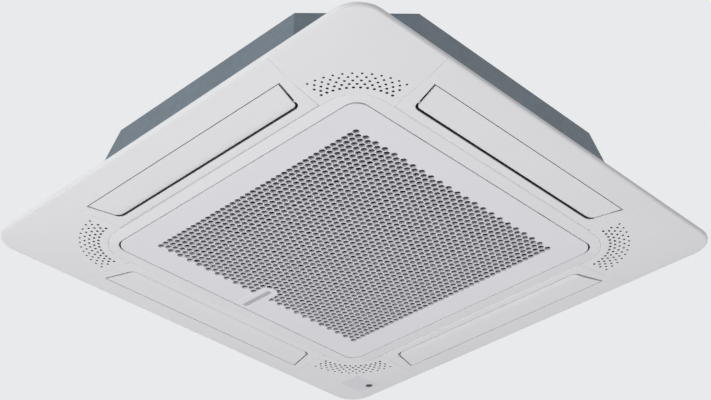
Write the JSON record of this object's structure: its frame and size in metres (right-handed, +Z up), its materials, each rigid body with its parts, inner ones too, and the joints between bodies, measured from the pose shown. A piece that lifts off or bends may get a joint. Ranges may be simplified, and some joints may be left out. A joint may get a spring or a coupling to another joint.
{
  "type": "ceiling cassette air conditioner",
  "caption": "Square four-way ceiling cassette air conditioner: perforated hinged intake grille, tilting louvers round it, sheet steel casing above the ceiling line.",
  "frame": {"origin": "middle of the panel, in the plane of the finished ceiling: the panel hangs below it and the casing stands above it", "axes": "+Z up into the ceiling void; +Y towards the side the intake grille hinges on, -Y towards the side it opens at; +X to the right, along the hinge line"},
  "size_m": [0.95, 0.95, 0.1906],
  "materials": {
    "galvanised_steel": "galvanised sheet, dull grey blue",
    "bare_steel": "plain steel",
    "white_panel_plastic": "fine matt moulded white",
    "white_foam": "moulded polystyrene foam, matt",
    "grey_plastic": "moulded grey, matt",
    "fan_plastic": "moulded dark grey, matt",
    "pale_grey_inlay": "pale grey, satin",
    "black_plastic": "black, glossy",
    "seal_foam": "closed cell foam strip",
    "black_rubber": "black rubber",
    "copper": "drawn copper tube",
    "brass": "turned brass",
    "aluminium_fin": "thin fins, matt",
    "circuit_board": "green solder mask",
    "filter_cloth": "fine dark net",
    "float_foam": "white foam"
  },
  "bodies": {
    "unit": {"casing_wrap": "galvanised_steel", "casing_top_plate": "galvanised_steel", "control_box": "galvanised_steel", "control_box_lid": "galvanised_steel", "coil_header_plate": "galvanised_steel", "fan_motor": "galvanised_steel", "hanger_bracket_rear_right": "bare_steel", "hanger_bracket_rear_left": "bare_steel", "hanger_bracket_front_left": "bare_steel", "hanger_bracket_front_right": "bare_steel", "louver_motor_right": "bare_steel", "louver_motor_rear": "bare_steel", "louver_motor_left": "bare_steel", "louver_motor_front": "bare_steel", "hinge_bracket_right": "bare_steel", "hinge_bracket_left": "bare_steel", "panel_frame": "white_panel_plastic", "bell_mouth": "white_panel_plastic", "terminal_block": "white_panel_plastic", "corner_cover_rear_right": "white_panel_plastic", "corner_cover_rear_left": "white_panel_plastic", "corner_cover_front_left": "white_panel_plastic", "corner_cover_front_right": "white_panel_plastic", "insulation_liner": "white_foam", "insulation_roof": "white_foam", "drain_pan": "white_foam", "cable_gland": "grey_plastic", "drain_pump": "grey_plastic", "float_switch": "grey_plastic", "drain_spigot": "grey_plastic", "receiver_lens": "black_plastic", "panel_seal": "seal_foam", "drain_plug": "black_rubber", "pump_hose": "black_rubber", "motor_bush_rear": "black_rubber", "motor_bush_left": "black_rubber", "motor_bush_right": "black_rubber", "coil_return_plate": "copper", "gas_pipe": "copper", "liquid_pipe": "copper", "gas_flare_nut": "brass", "liquid_flare_nut": "brass", "coil_fin_pack": "aluminium_fin", "control_board": "circuit_board"},
    "fan_rotor": {"turbo_fan": "fan_plastic", "fan_nut": "bare_steel", "motor_shaft": "bare_steel"},
    "intake_grille": {"grille_plate": "white_panel_plastic", "grille_inlay": "pale_grey_inlay", "grille_frame": "grey_plastic", "filter_frame": "grey_plastic", "filter_mesh": "filter_cloth"},
    "latch_right": {"grille_latch_right": "black_plastic"},
    "latch_left": {"grille_latch_left": "black_plastic"},
    "condensate_float": {"float": "float_foam"},
    "impeller": {"pump_impeller": "white_panel_plastic"},
    "louver_right": {"louver_right": "white_panel_plastic"},
    "louver_rear": {"louver_rear": "white_panel_plastic"},
    "louver_left": {"louver_left": "white_panel_plastic"},
    "louver_front": {"louver_front": "white_panel_plastic"}
  },
  "joints": [
    {"name": "louver_right_tilt", "type": "hinge", "parent": "unit", "child": "louver_right", "pos_m": [0.372, 0, -0.011], "axis": [0, 1, 0], "range_deg": [0, 50]},
    {"name": "louver_rear_tilt", "type": "hinge", "parent": "unit", "child": "louver_rear", "pos_m": [0, 0.372, -0.011], "axis": [-1, 0, 0], "range_deg": [0, 50]},
    {"name": "louver_left_tilt", "type": "hinge", "parent": "unit", "child": "louver_left", "pos_m": [-0.372, 0, -0.011], "axis": [0, -1, 0], "range_deg": [0, 50]},
    {"name": "louver_front_tilt", "type": "hinge", "parent": "unit", "child": "louver_front", "pos_m": [0, -0.372, -0.011], "axis": [1, 0, 0], "range_deg": [0, 50]},
    {"name": "grille_swing", "type": "hinge", "parent": "unit", "child": "intake_grille", "pos_m": [0, 0.3, -0.0155], "axis": [1, 0, 0], "range_deg": [0, 80]},
    {"name": "latch_right_slide", "type": "slide", "parent": "intake_grille", "child": "latch_right", "axis": [0, -1, 0], "range_m": [0, 0.006]},
    {"name": "latch_left_slide", "type": "slide", "parent": "intake_grille", "child": "latch_left", "axis": [0, -1, 0], "range_m": [0, 0.006]},
    {"name": "fan_spin", "type": "hinge", "parent": "unit", "child": "fan_rotor", "pos_m": [0, 0, 0.1], "axis": [0, 0, 1], "continuous": true},
    {"name": "float_rise", "type": "slide", "parent": "unit", "child": "condensate_float", "axis": [0, 0, 1], "range_m": [0, 0.012]},
    {"name": "impeller_spin", "type": "hinge", "parent": "unit", "child": "impeller", "pos_m": [-0.24, -0.299, 0.03], "axis": [0, 0, 1], "continuous": true}
  ]
}
